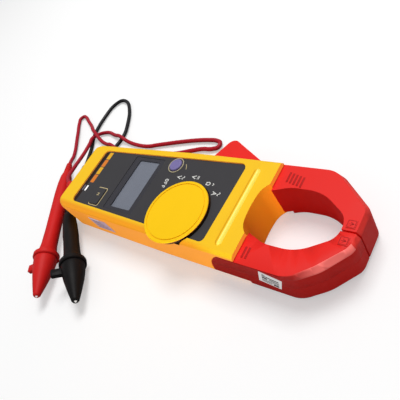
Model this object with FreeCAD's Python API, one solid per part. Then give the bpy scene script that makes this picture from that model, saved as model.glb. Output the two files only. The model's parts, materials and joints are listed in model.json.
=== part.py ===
import FreeCAD, Part
import math
import os
from FreeCAD import Vector

# Compact hand-held clamp meter with a hinged two-half jaw, a rotary range dial,
# two push buttons and a pair of plug-in test leads with capped probes.
# Millimetres. X is the width, +Y runs from the handle end to the jaw tip, Z is
# up out of the display. The origin is at the centre of the flat back.
# Lengthwise places are given as a "row": the distance from the handle end.
# A "place" is an (x, row) pair.

# ---------------------------------------------------------------- dimensions
LENGTH = 208.0            # handle end to jaw tip
CASE_L = 157.4            # handle end to the shoulders of the case
CASE_T = 25.0             # case thickness
HALF_W_HANDLE = 28.0      # half width at the handle end, +X side
HALF_W_LEVER = 26.7       # half width at the handle end, lever side (-X)
HALF_W = 29.3             # half width at the shoulders and of the jaws
TAPER_START, TAPER_END = 8.0, 100.0    # rows of the tapered +X side
BACK_CENTRE = 78.0        # row of the origin
SPLIT_Z = 12.6            # parting plane of the two case halves
WALL = 2.0                # case wall
FLOOR = 2.2               # back wall
CEILING_Z = 21.5          # underside of the front wall
BAY_START = 133.0         # row where the jaw bay begins
BAY_LOW, BAY_HIGH = 2.4, 22.25
PANEL_FLOOR, PANEL_T = 23.2, 1.0       # seat and thickness of the face panel
PANEL_FIT = 0.15
WINDOW_FIT = 0.1
RUN = 0.05                # clearance of turning and sliding parts
PRESS = 0.005             # radial clearance of the pivot pin in the case

DIAL, DIAL_R = (12.6, 110.3), 20.3
DIAL_LOW, DIAL_TOP = 22.6, 26.5
DIAL_RIM_Z = 25.8         # underside of the overhanging rim
DIAL_FOOT_R, DIAL_FOOT_TOP = 18.7, 24.5
DIAL_HUB_R = 6.0
DIAL_POCKET_R, DIAL_POCKET_Z = DIAL_R + 0.5, 22.4

HOLD, HOLD_W, HOLD_D = (14.25, 38.25), 12.5, 8.5
SELECT, SELECT_R = (-18.0, 88.0), 4.3
BUTTON_LOW = 19.4
LCD_HALF_W, LCD_START, LCD_END = 18.4, 54.6, 73.0

BOARD_LOW, BOARD_TOP = 14.0, 15.6
MOUNT_Z = BOARD_TOP + 0.02             # underside of the parts on the board
CASE_SCREWS = [(-20.0, 10.0), (20.0, 10.0), (24.0, 84.5), (-23.5, 79.5), (3.0, 146.0)]
BOARD_SCREWS = [(-21.5, 31.0), (21.5, 28.5), (-21.5, 50.0), (22.8, 126.5)]

DOOR_HALF_W, DOOR_START, DOOR_END, DOOR_R = 13.5, 25.0, 77.0, 2.0
TAB_HALF_W, TAB_END, TAB_R = 3.3, 83.3, 1.5
DOOR_GAP = 0.15
DOOR_SCREW = (0.0, 80.0)
CELL_R, CELL_L, CELL_START = 5.25, 44.5, 27.6
CELL_X, CELL_Z = 5.6, 8.0
CELL_NUB_R, CELL_NUB_L = 1.9, 0.8

JACK_X, JACK_Z, JACK_HOLE_R = 9.5, 12.6, 4.3
PLUG_PIN_R = 1.98
PLUG_PIN_TIP = 18.6
SIDES = (-1, 1)

PIVOT, PIVOT_R = (-18.0, 143.0), 2.5
JAW_LOW, JAW_HIGH = 0.6, 22.0
JAW_ROOT_LOW = 2.6
JAW_SEAM = 11.3
JAW_GAP_X, JAW_GAP = 1.2, 0.9          # centre and width of the gap between the jaws
JAW_WALL = 1.7
ROOT_END = CASE_L + 0.3                # jaw roots overlap the nose up to this row
NOSE_START = CASE_L + 0.25
BEVEL_TOP, BEVEL_LOW = 19.1, 2.4
LEVER_LOW, LEVER_HIGH = 5.0, 18.2
SPRING_LOW, SPRING_HIGH = 8.6, 15.6
SPRING_R, SPRING_WIRE_R = 4.3, 0.5
SPRING_PITCH, SPRING_TURNS = 1.12, 5
SPRING_WIRE_Z = SPRING_LOW + 0.7

CABLE_R = 1.5
CABLE_REST_Z = 1.85
NEEDLE_R, TIP_L = 1.03, 30.4


# ------------------------------------------------------------- basic shapes
def at(x, row, z=0.0):
    return Vector(x, row - BACK_CENTRE, z)


def export(name, *shapes):
    solids = [solid for shape in shapes for solid in shape.Solids]
    piece = solids[0] if len(solids) == 1 else Part.makeCompound(solids)
    piece.exportStep("parts/" + name + ".step")


def wire(points, radii=0.0):
    """Closed line-and-arc wire through (x, row) points, corners rounded."""
    count = len(points)
    if not isinstance(radii, list):
        radii = [radii] * count
    corners = [at(x, row) for x, row in points]
    starts, middles, ends = [], [], []
    for i in range(count):
        corner = corners[i]
        back = (corners[i - 1] - corner).normalize()
        ahead = (corners[(i + 1) % count] - corner).normalize()
        radius = radii[i]
        if radius <= 1e-6:
            starts.append(corner)
            middles.append(None)
            ends.append(corner)
            continue
        half_angle = math.acos(back.dot(ahead)) / 2
        trim = radius / math.tan(half_angle)
        bisector = (back + ahead).normalize()
        centre = corner + bisector * (radius / math.sin(half_angle))
        starts.append(corner + back * trim)
        middles.append(centre - bisector * radius)
        ends.append(corner + ahead * trim)
    edges = []
    for i in range(count):
        if middles[i] is not None:
            edges.append(Part.Arc(starts[i], middles[i], ends[i]).toShape())
        following = starts[(i + 1) % count]
        if (ends[i] - following).Length > 1e-6:
            edges.append(Part.LineSegment(ends[i], following).toShape())
    return Part.Wire(edges)


def inset(points, distance):
    """Polygon moved inwards by distance (points run anticlockwise)."""
    moved = []
    for i, (x, row) in enumerate(points):
        before, after = points[i - 1], points[(i + 1) % len(points)]
        side_in = Vector(x - before[0], row - before[1], 0).normalize()
        side_out = Vector(after[0] - x, after[1] - row, 0).normalize()
        normal_in = Vector(-side_in.y, side_in.x, 0)
        normal_out = Vector(-side_out.y, side_out.x, 0)
        scale = distance / (1 + normal_in.dot(normal_out))
        shift = (normal_in + normal_out) * scale
        moved.append((x + shift.x, row + shift.y))
    return moved


def prism(points, z_min, z_max, radii=0.0):
    face = Part.Face(wire(points, radii))
    face.translate(Vector(0, 0, z_min))
    return face.extrude(Vector(0, 0, z_max - z_min))


def slab(x_min, x_max, row_min, row_max, z_min, z_max, radius=0.0):
    """Box with its four upright edges rounded."""
    corners = [(x_min, row_min), (x_max, row_min), (x_max, row_max), (x_min, row_max)]
    return prism(corners, z_min, z_max, radius)


def box(x_min, x_max, row_min, row_max, z_min, z_max):
    return Part.makeBox(x_max - x_min, row_max - row_min, z_max - z_min,
                        at(x_min, row_min, z_min))


def region(x_min=-60, x_max=60, row_min=-20, row_max=240, z_min=-5, z_max=40):
    """Cutting box, beyond the whole meter on every side that is not given."""
    return box(x_min, x_max, row_min, row_max, z_min, z_max)


def block(place, width, depth, z_min, z_max):
    """Box centred on a place."""
    x, row = place
    return box(x - width / 2, x + width / 2, row - depth / 2, row + depth / 2, z_min, z_max)


def upright(radius, place, z_min, z_max):
    """Cylinder along Z."""
    return Part.makeCylinder(radius, z_max - z_min, at(*place, z_min))


def lengthwise(radius, x, z, row_min, row_max):
    """Cylinder along Y."""
    return Part.makeCylinder(radius, row_max - row_min, at(x, row_min, z), Vector(0, 1, 0))


def rod(radius, start, end):
    along = end - start
    return Part.makeCylinder(radius, along.Length, start, along)


def axial_rod(radius, origin, axis, start, end):
    """Rod between two distances from the origin along an axis."""
    return rod(radius, origin + axis * start, origin + axis * end)


def ring(outer_r, inner_r, place, z_min, z_max):
    return upright(outer_r, place, z_min, z_max).cut(
        upright(inner_r, place, z_min - 1, z_max + 1))


def revolved(origin, axis, profile):
    """Solid of revolution from (distance, radius) pairs along an axis."""
    points = [Vector(0, 0, profile[0][0])]
    points += [Vector(radius, 0, distance) for distance, radius in profile]
    points.append(Vector(0, 0, profile[-1][0]))
    face = Part.Face(Part.makePolygon(points + [points[0]]))
    turned = face.revolve(Vector(0, 0, 0), Vector(0, 0, 1), 360)
    turned.Placement = FreeCAD.Placement(origin, FreeCAD.Rotation(Vector(0, 0, 1), axis))
    return Part.Solid(turned.Solids[0].Shells[0])


def level_edges(shape, axis, level):
    """Edges lying in the plane at a level of the axis "X", "Y" or "Z"."""
    return [edge for edge in shape.Edges
            if abs(getattr(edge.BoundBox, axis + "Min") - level) < 1e-3
            and abs(getattr(edge.BoundBox, axis + "Max") - level) < 1e-3]


def soften(shape, edges, radius, chamfer=False):
    """Round or chamfer the edges given."""
    # The kernel may refuse a radius: smaller ones are tried, then the shape is left sharp.
    for factor in (1.0, 0.8, 0.6, 0.4):
        try:
            make = shape.makeChamfer if chamfer else shape.makeFillet
            result = make(radius * factor, edges)
            if result.isValid() and result.Solids and result.Volume > 0:
                return result
        except Exception:
            pass
    return shape


def screw(place, head_r, shank_r, head_z, seat_z, tip_z, slots, slot_top):
    """Screw with its head down; slots are (width, depth) pairs cut in the head."""
    body = upright(head_r, place, head_z, seat_z)
    for width, depth in slots:
        body = body.cut(block(place, width, depth, head_z - 1, slot_top))
    return body.fuse(upright(shank_r, place, seat_z, tip_z))


# --------------------------------------------------------------------- case
CASE_OUTLINE = [(-24.4, 0.0), (24.0, 0.0), (HALF_W_HANDLE, TAPER_START), (HALF_W, TAPER_END),
                (HALF_W, CASE_L), (-HALF_W, CASE_L), (-HALF_W, 100.0), (-HALF_W_LEVER, 6.0)]
CASE_RADII = [4.0, 6.5, 14.0, 60.0, 2.0, 2.0, 60.0, 7.0]
CAVITY_RADII = [2.0, 4.5, 12.0, 60.0, 0.5, 0.5, 60.0, 5.0]
# (x, row) stations of the concave front wall between the shoulders
MOUTH_HALF_W = 14.5
MOUTH = [(-MOUTH_HALF_W, CASE_L), (-12.6, 155.7), (-9.6, 154.2), (-4.8, 153.4), (0.0, 153.2),
         (4.8, 153.4), (9.6, 154.2), (12.6, 155.7), (MOUTH_HALF_W, CASE_L)]


def mouth(shift):
    """Space beyond the concave wall, moved lengthwise by shift."""
    curve = Part.BSplineCurve()
    curve.interpolate([at(x, row + shift) for x, row in MOUTH])
    loop = [at(-MOUTH_HALF_W, CASE_L + shift), at(-MOUTH_HALF_W, 170.0),
            at(MOUTH_HALF_W, 170.0), at(MOUTH_HALF_W, CASE_L + shift)]
    sides = [Part.LineSegment(loop[i], loop[i - 1]).toShape() for i in (3, 2, 1)]
    face = Part.Face(Part.Wire([curve.toShape()] + sides))
    face.translate(Vector(0, 0, -5))
    return face.extrude(Vector(0, 0, 40))


def case_block():
    """Solid case; it is rounded overlong, then cut flat at the shoulders."""
    overlong = [(x, row + 12.0 if row == CASE_L else row) for x, row in CASE_OUTLINE]
    body = prism(overlong, 0, CASE_T, CASE_RADII)
    body = soften(body, level_edges(body, "Z", CASE_T), 2.6)
    body = soften(body, level_edges(body, "Z", 0.0), 3.2)
    return body.common(region(row_max=CASE_L)).cut(mouth(0.0))


def jaw_bay():
    """Bay of the jaw roots, closed towards the mouth by the curved front wall."""
    bay = box(-27.3, 27.3, BAY_START, CASE_L + 5, BAY_LOW, BAY_HIGH)
    bay = bay.fuse(box(-27.3, -4.0, 127.0, BAY_START + 1, BAY_LOW, BAY_HIGH))
    wall = mouth(-WALL).common(
        box(-MOUTH_HALF_W, MOUTH_HALF_W, 120, CASE_L, BAY_LOW - 1, BAY_HIGH + 1))
    return bay.cut(wall)


def hollow_half(z_min, z_max):
    """Case between two heights, with the cavity, jaw bay and lever slot cut out."""
    cavity = prism(inset(CASE_OUTLINE, WALL), FLOOR, CEILING_Z, CAVITY_RADII)
    cavity = cavity.cut(region(row_min=BAY_START))
    lever_slot = box(-40, -26.0, 98.5, CASE_L + 5, BAY_LOW, BAY_HIGH)
    half_case = case_block().common(region(z_min=z_min, z_max=z_max))
    return half_case.cut(cavity).cut(jaw_bay()).cut(lever_slot)


def ear(clearance, low):
    """Side profile of the fixed jaw's root, seen through a notch in the case."""
    top_z = JAW_HIGH + clearance
    top = at(0, 147.5 - clearance, top_z)
    middle = at(0, 139.3 - clearance, 13.6 + clearance * 0.5)
    bottom = at(0, 135.2 - clearance, low)
    loop = [bottom, at(0, CASE_L + 6, low), at(0, CASE_L + 6, top_z), top]
    edges = [Part.Arc(top, middle, bottom).toShape()]
    edges += [Part.LineSegment(p, q).toShape() for p, q in zip(loop, loop[1:])]
    face = Part.Face(Part.Wire(edges))
    face.translate(Vector(20.0, 0, 0))
    return face.extrude(Vector(20.0, 0, 0))


def hold_prism(margin, z_min, z_max):
    x, row = HOLD
    half_w, half_d = HOLD_W / 2 + margin, HOLD_D / 2 + margin
    return slab(x - half_w, x + half_w, row - half_d, row + half_d, z_min, z_max, 1.2 + margin)


def cut_button_holes(shape):
    return shape.cut(hold_prism(RUN, 15, 30)).cut(upright(SELECT_R + RUN, SELECT, 15, 30))


def cut_jack_holes(shape, row_min, row_max):
    for side in SIDES:
        shape = shape.cut(lengthwise(JACK_HOLE_R, side * JACK_X, JACK_Z, row_min, row_max))
    return shape


PANEL = [(-21.6, 15.7), (21.8, 15.7), (25.3, 136.9), (-25.0, 138.0)]
PANEL_RADII = [3.0, 4.0, 2.6, 4.0]


def panel_pocket():
    corners = [(x + math.copysign(PANEL_FIT, x), row + (PANEL_FIT if row > 100 else -PANEL_FIT))
               for x, row in PANEL]
    return prism(corners, PANEL_FLOOR, 40, [radius + PANEL_FIT for radius in PANEL_RADII])


def barrier_bar():
    """Raised bar with round ends across the front."""
    radius, row, z = 2.2, 146.3, 24.0
    ends = at(-20.6, row, z), at(22.6, row, z)
    bar = rod(radius, *ends)
    for end in ends:
        bar = bar.fuse(Part.makeSphere(radius, end))
    return bar.common(region(z_min=23.4))


def front_case():
    case = hollow_half(SPLIT_Z, 40).fuse(upright(DIAL_HUB_R + 5.0, DIAL, 20.6, 22.0))
    case = case.cut(ear(0.25, BAY_LOW))
    case = case.cut(upright(DIAL_POCKET_R, DIAL, DIAL_POCKET_Z, 40)).cut(panel_pocket())
    case = case.cut(slab(-LCD_HALF_W - 1, LCD_HALF_W + 1, LCD_START - 1, LCD_END + 1,
                         CEILING_Z - 1, 24.0, 0.8))
    case = case.cut(upright(DIAL_HUB_R + RUN, DIAL, 15, 30))
    case = cut_button_holes(case)
    for place in CASE_SCREWS:
        ceiling = BAY_HIGH if place[1] > BAY_START else CEILING_Z
        case = case.fuse(upright(3.0, place, SPLIT_Z, ceiling + 0.5))
        case = case.cut(upright(1.25, place, SPLIT_Z - 1, 19.5))
    for place in BOARD_SCREWS:
        case = case.fuse(upright(2.2, place, BOARD_TOP, CEILING_Z + 0.5))
        case = case.cut(upright(0.9, place, 15, 20.0))
    case = case.cut(upright(PIVOT_R + PRESS, PIVOT, 20, 23.8)).fuse(barrier_bar())
    return cut_jack_holes(case, -3, 2.0).removeSplitter()


def door_plate(gap, z_min, z_max):
    half_w = DOOR_HALF_W - gap
    return slab(-half_w, half_w, DOOR_START + gap, DOOR_END - gap, z_min, z_max, DOOR_R - gap)


def door_tab(gap, start, z_min, z_max):
    half_w = TAB_HALF_W - gap
    return slab(-half_w, half_w, start, TAB_END - gap, z_min, z_max, TAB_R - gap)


def rear_case():
    case = hollow_half(-1, SPLIT_Z).cut(ear(0.25, BAY_LOW))
    for place in CASE_SCREWS:
        case = case.fuse(upright(3.4, place, 1.0, SPLIT_Z)).cut(upright(1.7, place, -1, 30))
        case = case.cut(upright(2.9, place, -1, 4.0))
    case = case.fuse(upright(4.5, PIVOT, 1.0, BAY_LOW))
    case = case.cut(upright(PIVOT_R + PRESS, PIVOT, 0.9, 30))
    case = cut_jack_holes(case, -3, 2.0).cut(door_plate(0.0, -1, FLOOR + 0.5))
    # screw post of the battery door stands just behind the cells
    case = case.fuse(box(-3.2, 3.2, DOOR_END, 83.5, 1.5, 9.0))
    case = case.cut(upright(1.0, DOOR_SCREW, 1.0, 8.0)).cut(door_tab(0.0, 76.0, -1, 1.2))
    return case.removeSplitter()


def battery_door():
    door = door_plate(DOOR_GAP, 0.0, FLOOR - 0.1).fuse(door_tab(DOOR_GAP, 72.0, 0.0, 1.1))
    door = door.cut(upright(1.2, DOOR_SCREW, -1, 3)).cut(upright(2.1, DOOR_SCREW, -1, 0.5))
    for i in range(4):
        start = 30.0 + 2.2 * i
        door = door.cut(box(-7.0, 7.0, start, start + 1.1, -1, 0.4))
    return door.removeSplitter()


# ---------------------------------------------------- face panel and display
def window_plate(gap, z_min, z_max):
    half_w = 20.9 - gap
    return slab(-half_w, half_w, 49.2 + gap, 76.8 - gap, z_min, z_max, 1.0 - gap)


def face_panel():
    panel = prism(PANEL, PANEL_FLOOR, PANEL_FLOOR + PANEL_T, PANEL_RADII)
    panel = panel.cut(window_plate(0.0, 20, 30)).cut(upright(DIAL_POCKET_R, DIAL, 20, 30))
    return cut_button_holes(panel)


def select_bezel():
    top = PANEL_FLOOR + PANEL_T
    return ring(5.5, 4.95, SELECT, top, top + 0.35)


def lcd_module():
    glass = box(-LCD_HALF_W - 0.6, LCD_HALF_W + 0.6, LCD_START - 0.6, LCD_END + 0.6, 21.45, 23.15)
    return box(-20.4, 20.4, 52.6, 75.0, 19.2, 21.45).fuse(glass).removeSplitter()


def lcd_connector():
    return [box(-19.0, 19.0, start, start + 2.0, 15.65, 19.15) for start in (53.0, 72.8)]


# ------------------------------------------------------------ circuit board
BOARD = [(-25.0, 25.6), (25.0, 25.6), (26.6, 93.0), (26.6, 131.5),
         (-3.0, 131.5), (-3.0, 94.0), (-25.8, 94.0)]


def main_board():
    board = prism(BOARD, BOARD_LOW, BOARD_TOP, 2.0)
    for places, radius in ((CASE_SCREWS, 3.6), (BOARD_SCREWS, 1.1)):
        for place in places:
            board = board.cut(upright(radius, place, 10, 20))
    return board


def meter_chips():
    return (box(-9.0, 9.0, 38.0, 50.0, MOUNT_Z, 17.2),
            box(12.0, 20.0, 62.0, 68.0, MOUNT_Z, 17.0))


def resistor_shunts():
    return [lengthwise(1.3, 11.0 + 3.6 * i, 12.6, 90.0, 98.0) for i in range(3)]


# ---------------------------------------------------------- buttons and dial
def hold_button():
    top = 25.2
    button = hold_prism(0.0, BUTTON_LOW, top)
    button = soften(button, level_edges(button, "Z", top), 0.5)
    flange = block(HOLD, HOLD_W + 1.3, HOLD_D + 1.3, BUTTON_LOW, BUTTON_LOW + 1.0)
    return button.fuse(flange).removeSplitter()


def select_button():
    top = 25.4
    button = upright(SELECT_R, SELECT, BUTTON_LOW, top)
    button = soften(button, level_edges(button, "Z", top), 0.7)
    return button.fuse(upright(4.95, SELECT, BUTTON_LOW, BUTTON_LOW + 1.0)).removeSplitter()


def dial_knob():
    knob = upright(DIAL_R, DIAL, DIAL_RIM_Z, DIAL_TOP)
    knob = soften(knob, level_edges(knob, "Z", DIAL_TOP), 0.35, chamfer=True)
    knob = knob.fuse(Part.makeCone(DIAL_FOOT_R, DIAL_R, DIAL_RIM_Z - DIAL_FOOT_TOP,
                                   at(*DIAL, DIAL_FOOT_TOP)))
    knob = knob.fuse(upright(DIAL_FOOT_R, DIAL, DIAL_LOW, DIAL_FOOT_TOP))
    knob = knob.cut(ring(18.6, 17.9, DIAL, DIAL_TOP - 0.5, DIAL_TOP + 1))
    knob = knob.fuse(upright(DIAL_HUB_R, DIAL, 18.6, DIAL_LOW + 0.5))
    return knob.cut(upright(2.0, DIAL, 10, 23.5)).removeSplitter()


def dial_rotor():
    return upright(11.0, DIAL, 16.9, 18.5).fuse(upright(1.98, DIAL, 16.9, 23.4))


def dial_wipers():
    return [block((DIAL[0] + offset, DIAL[1]), 1.6, 3.2, 15.7, 16.88)
            for offset in (-9.0, -6.0, 6.0, 9.0)]


# ------------------------------------------------------- batteries and jacks
def batteries():
    """Two cells side by side, the -X one with its nub to the handle end."""
    cells = []
    for side in SIDES:
        can_end = CELL_START + CELL_L - CELL_NUB_L
        nub_start = can_end if side > 0 else CELL_START - CELL_NUB_L
        can = lengthwise(CELL_R, side * CELL_X, CELL_Z, CELL_START, can_end)
        cells.append(can.fuse(lengthwise(CELL_NUB_R, side * CELL_X, CELL_Z,
                                         nub_start, nub_start + CELL_NUB_L)))
    return cells


def battery_contacts():
    """One wide plate at the handle end and two single ones at the far end."""
    spans = [(-10.6, 10.6, 25.9), (-10.6, -0.9, 73.9), (0.9, 10.6, 73.9)]
    return [box(x_min, x_max, start, start + 0.5, 3.0, 12.4) for x_min, x_max, start in spans]


def jack_block():
    body = box(-16.5, 16.5, 2.05, 23.5, 6.4, 13.8)
    body = body.fuse(box(-16.5, 16.5, 2.05, 23.5, 11.4, 18.8))
    return cut_jack_holes(body, 0, 22.5).removeSplitter()


def jack_sockets():
    return [lengthwise(2.9, side * JACK_X, JACK_Z, 5.0, 22.5).cut(
        lengthwise(PLUG_PIN_R + RUN, side * JACK_X, JACK_Z, 0, 21.5)) for side in SIDES]


# ---------------------------------------------------------------------- jaws
# (x, row) corners of the outside, and of the bevels on its upper and lower face
JAW_OUTLINE = [(HALF_W, 120.0), (HALF_W, 187.5), (21.5, 198.0), (8.6, LENGTH),
               (-12.2, LENGTH), (-HALF_W, 188.4), (-HALF_W, 120.0)]
NOSE_TOP = [(HALF_W, 120.0), (HALF_W, 185.2), (20.6, 195.4), (8.0, 206.4),
            (-11.0, 206.6), (-HALF_W, 186.0), (-HALF_W, 120.0)]
NOSE_LOW = [(HALF_W, 120.0), (HALF_W, 186.2), (20.9, 196.6), (8.3, 207.0),
            (-11.6, 207.0), (-HALF_W, 187.0), (-HALF_W, 120.0)]
JAW_RADII = [0, 13.0, 22.0, 8.0, 6.0, 12.0, 0]
# jaw window, +X half: x, row, corner radius, change of radius per mm of growth
HALF_WINDOW = [(11.4, 150.0, 0, 0), (12.2, 156.5, 6.0, 0), (16.3, 167.5, 20.0, -1),
               (16.3, 184.4, 22.0, 1), (5.3, 199.8, 9.0, 1)]
JAW_WINDOW = HALF_WINDOW + [(-x, *rest) for x, *rest in reversed(HALF_WINDOW)]
# lever and moving jaw root, (x, row)
LEVER = [(-14.8, ROOT_END), (-HALF_W, ROOT_END), (-HALF_W, 145.8), (-47.1, 112.8),
         (-29.6, 104.1), (-28.2, 100.9), (-27.4, 127.0), (-23.6, 132.6), (-15.0, 134.6),
         (-11.6, 141.0), (-14.8, 150.5)]
LEVER_RADII = [0, 0, 3.0, 4.6, 0.8, 0.4, 3, 4, 3, 4, 1]


def jaw_prism(distance, z_min, z_max):
    """Jaw outline moved inwards by distance."""
    radii = [radius - distance if radius else 0 for radius in JAW_RADII]
    return prism(inset(JAW_OUTLINE, distance), z_min, z_max, radii)


def window_prism(growth, z_min, z_max):
    """Jaw window moved outwards by growth, cutting clear past both heights."""
    points = inset([(x, row) for x, row, *_ in JAW_WINDOW], -growth)
    radii = [radius + change * growth for _, _, radius, change in JAW_WINDOW]
    return prism(points, z_min - 1, z_max + 1, radii)


def jaw_ring(distance, z_min, z_max):
    """Jaw ring moved inwards by distance from its outside and window walls."""
    return jaw_prism(distance, z_min, z_max).cut(window_prism(distance, z_min, z_max))


def jaw_half(shape, side, margin=0.0):
    offset = JAW_GAP / 2 + margin
    if side > 0:
        return shape.common(region(x_min=JAW_GAP_X + offset))
    return shape.common(region(x_max=JAW_GAP_X - offset))


def bevel(low_points, low_z, high_points, high_z):
    """Flat-sided solid between two outlines."""
    wires = wire(low_points, JAW_RADII), wire(high_points, JAW_RADII)
    for outline, z in zip(wires, (low_z, high_z)):
        outline.translate(Vector(0, 0, z))
    return Part.makeLoft(list(wires), True, True)


def nose_half(side):
    nose = prism(JAW_OUTLINE, BEVEL_LOW, BEVEL_TOP, JAW_RADII)
    nose = nose.fuse(bevel(JAW_OUTLINE, BEVEL_TOP, NOSE_TOP, JAW_HIGH))
    nose = nose.fuse(bevel(NOSE_LOW, JAW_LOW, JAW_OUTLINE, BEVEL_LOW))
    nose = nose.cut(window_prism(0.0, JAW_LOW, JAW_HIGH)).removeSplitter()
    return jaw_half(nose, side).common(region(row_min=NOSE_START))


def fixed_jaw():
    root = slab(14.7, 27.1, 135.6, ROOT_END, JAW_ROOT_LOW, JAW_HIGH)
    root_ear = ear(0.0, JAW_ROOT_LOW).common(box(26.9, HALF_W, 100, ROOT_END, 0, 40))
    relief = region(row_max=CASE_L + 0.6, z_max=JAW_ROOT_LOW)
    return nose_half(1).fuse(root).fuse(root_ear).cut(relief).removeSplitter()


def lever():
    """Moving jaw root with the thinner finger lever, rounded along its outer edges."""
    body = prism(LEVER, JAW_ROOT_LOW, JAW_HIGH, LEVER_RADII)
    thinning = region(x_max=-29.45, row_max=147.0, z_max=LEVER_LOW)
    thinning = thinning.fuse(region(x_max=-29.45, row_max=147.0, z_min=LEVER_HIGH))
    for heights in ({"z_max": LEVER_LOW}, {"z_min": LEVER_HIGH}):
        thinning = thinning.fuse(region(x_min=-30, x_max=0, row_max=132.5, **heights))
    body = body.cut(thinning)
    rims = level_edges(body, "Z", LEVER_LOW) + level_edges(body, "Z", LEVER_HIGH)
    rims = [edge for edge in rims if edge.BoundBox.XMin < -31
            and edge.valueAt((edge.FirstParameter + edge.LastParameter) / 2).x < -29.8]
    return soften(body, rims, 1.6)


def moving_jaw():
    jaw = nose_half(-1).fuse(lever()).cut(region(row_max=162.0, z_max=JAW_ROOT_LOW))
    jaw = jaw.cut(upright(PIVOT_R + RUN, PIVOT, -5, 40))
    # room for the return spring, with a wedge for its leg
    jaw = jaw.cut(upright(5.4, PIVOT, SPRING_LOW, SPRING_HIGH))
    wedge = [PIVOT]
    for degrees in (-43.0, -27.0, -10.0, 8.0):
        angle = math.radians(degrees)
        wedge.append((PIVOT[0] + 13 * math.cos(angle), PIVOT[1] + 13 * math.sin(angle)))
    return jaw.cut(prism(wedge, SPRING_LOW, SPRING_HIGH)).removeSplitter()


def jaw_coil(side):
    """Rectangular sleeve round one limb of the core."""
    x_min, x_max = sorted((side * 18.1, side * 27.5))
    hole_min, hole_max = sorted((side * 18.7, side * 26.65))
    length = 9.0
    coil = box(x_min, x_max, 169.0, 169.0 + length, 6.6, 16.4)
    coil = coil.cut(box(hole_min, hole_max, 160.0, 182.0, 7.95, 15.05))
    corners = [edge for edge in coil.Edges if abs(edge.BoundBox.YLength - length) < 1e-3
               and (abs(edge.BoundBox.XMin - x_min) < 1e-3
                    or abs(edge.BoundBox.XMax - x_max) < 1e-3)]
    return soften(coil, corners, 1.0)


def export_jaw(name, side, body):
    room = jaw_ring(JAW_WALL, JAW_LOW + 2.0, JAW_HIGH - 2.0).common(region(row_min=163.5))
    core = jaw_ring(2.7, 8.0, 15.0).common(region(row_min=165.0))
    shell = body.cut(jaw_half(room, side, 0.7))
    export(name + "_jaw_upper", shell.common(region(z_min=JAW_SEAM)))
    export(name + "_jaw_lower", shell.common(region(z_max=JAW_SEAM)))
    export(name + "_jaw_core", jaw_half(core, side, 0.75))
    export(name + "_jaw_coil", jaw_coil(side))


def jaw_return_spring():
    """Helix round the pivot pin with one straight leg towards +X."""
    helix = Part.makeHelix(SPRING_PITCH, SPRING_PITCH * SPRING_TURNS, SPRING_R)
    section = Part.makeCircle(SPRING_WIRE_R, Vector(SPRING_R, 0, 0), Vector(0, 1, 0))
    coil = Part.Wire(helix).makePipeShell([Part.Wire([section])], True, True)
    centre = at(*PIVOT, SPRING_WIRE_Z)
    coil.translate(centre)
    return coil.fuse(rod(SPRING_WIRE_R, centre + Vector(SPRING_R, -0.35, 0),
                         centre + Vector(13.4, -0.35, 0)))


def spring_post():
    """Post with a notch for the spring leg."""
    post = upright(1.6, (-3.2, PIVOT[1]), BAY_LOW, 14.0)
    return post.cut(box(-6, -3.3, 142.0, 143.3, SPRING_LOW + 0.15, SPRING_LOW + 1.25))


def raised_mark(x, row, width, depth, height):
    return box(x, x + width, row, row + depth, JAW_HIGH, JAW_HIGH + height)


def moving_jaw_marks():
    """Slanting row of bars beside the window and a square at the tip."""
    bars = [raised_mark(-25.0 + 0.5 * i, 163.0 + 2.1 * i, 6.0, 0.9, 0.25) for i in range(5)]
    return bars + [raised_mark(-4.6, 201.2, 4.2, 4.2, 0.3)]


def fixed_jaw_marks():
    """Square at the tip and two bars beside the window."""
    return [raised_mark(4.0, 200.9, 4.2, 4.2, 0.3)] + [
        raised_mark(20.0, row, 6.0, 0.9, 0.25) for row in (160.0, 162.1)]


# -------------------------------------------------------------------- labels
LABEL_T = 0.15
JAW_LABEL = [(170.9, 20.4), (181.7, 16.4), (177.5, 6.2), (166.5, 9.3)]   # (row, z) corners


def jaw_label():
    """Four-sided label wrapped on the +X side of the fixed jaw."""
    corners = [at(20, row, z) for row, z in JAW_LABEL]
    window = Part.Face(Part.makePolygon(corners + [corners[0]])).extrude(Vector(20, 0, 0))
    return window.common(jaw_prism(-LABEL_T, 0, 25).cut(jaw_prism(0.0, -1, 26)))


def side_label():
    """Label just clear of the tapered +X side of the case."""
    start = 36.0
    slope = (HALF_W - HALF_W_HANDLE) / (TAPER_END - TAPER_START)
    x = HALF_W_HANDLE + (start - TAPER_START) * slope + 0.012
    label = box(x, x + LABEL_T, start, start + 18.5, 8.2, 20.2)
    label.rotate(at(x, start), Vector(0, 0, 1), -math.degrees(math.atan(slope)))
    return label


# ------------------------------------------------------------ plugs of leads
def boot_origin(side):
    return at(side * JACK_X, -6.6, JACK_Z)


def plug(side, axis, boot_l):
    """Plug body with a shroud in the jack and a boot pointing along axis."""
    x = side * JACK_X
    shroud = lengthwise(4.22, x, JACK_Z, -1.0, 20.0).cut(lengthwise(3.1, x, JACK_Z, 2.5, 30.0))
    body = lengthwise(5.2, x, JACK_Z, -12.0, -1.0).fuse(shroud)
    origin = boot_origin(side)
    body = body.fuse(revolved(origin, axis, [(0, 4.6), (boot_l * 0.5, 4.2), (boot_l, 3.0)]))
    body = body.cut(lengthwise(1.85, x, JACK_Z, -3.0, 4.0))
    body = body.cut(axial_rod(1.75, origin, axis, boot_l - 6.5, 30.0))
    return soften(body, level_edges(body, "Y", at(0, -12.0).y), 1.2).removeSplitter()


def plug_pin(side):
    x = side * JACK_X
    pin = lengthwise(PLUG_PIN_R, x, JACK_Z, 4.0, PLUG_PIN_TIP)
    pin = pin.fuse(lengthwise(1.82, x, JACK_Z, -2.9, 4.0))
    return soften(pin, level_edges(pin, "Y", at(0, PLUG_PIN_TIP).y), 0.6, chamfer=True)


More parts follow.
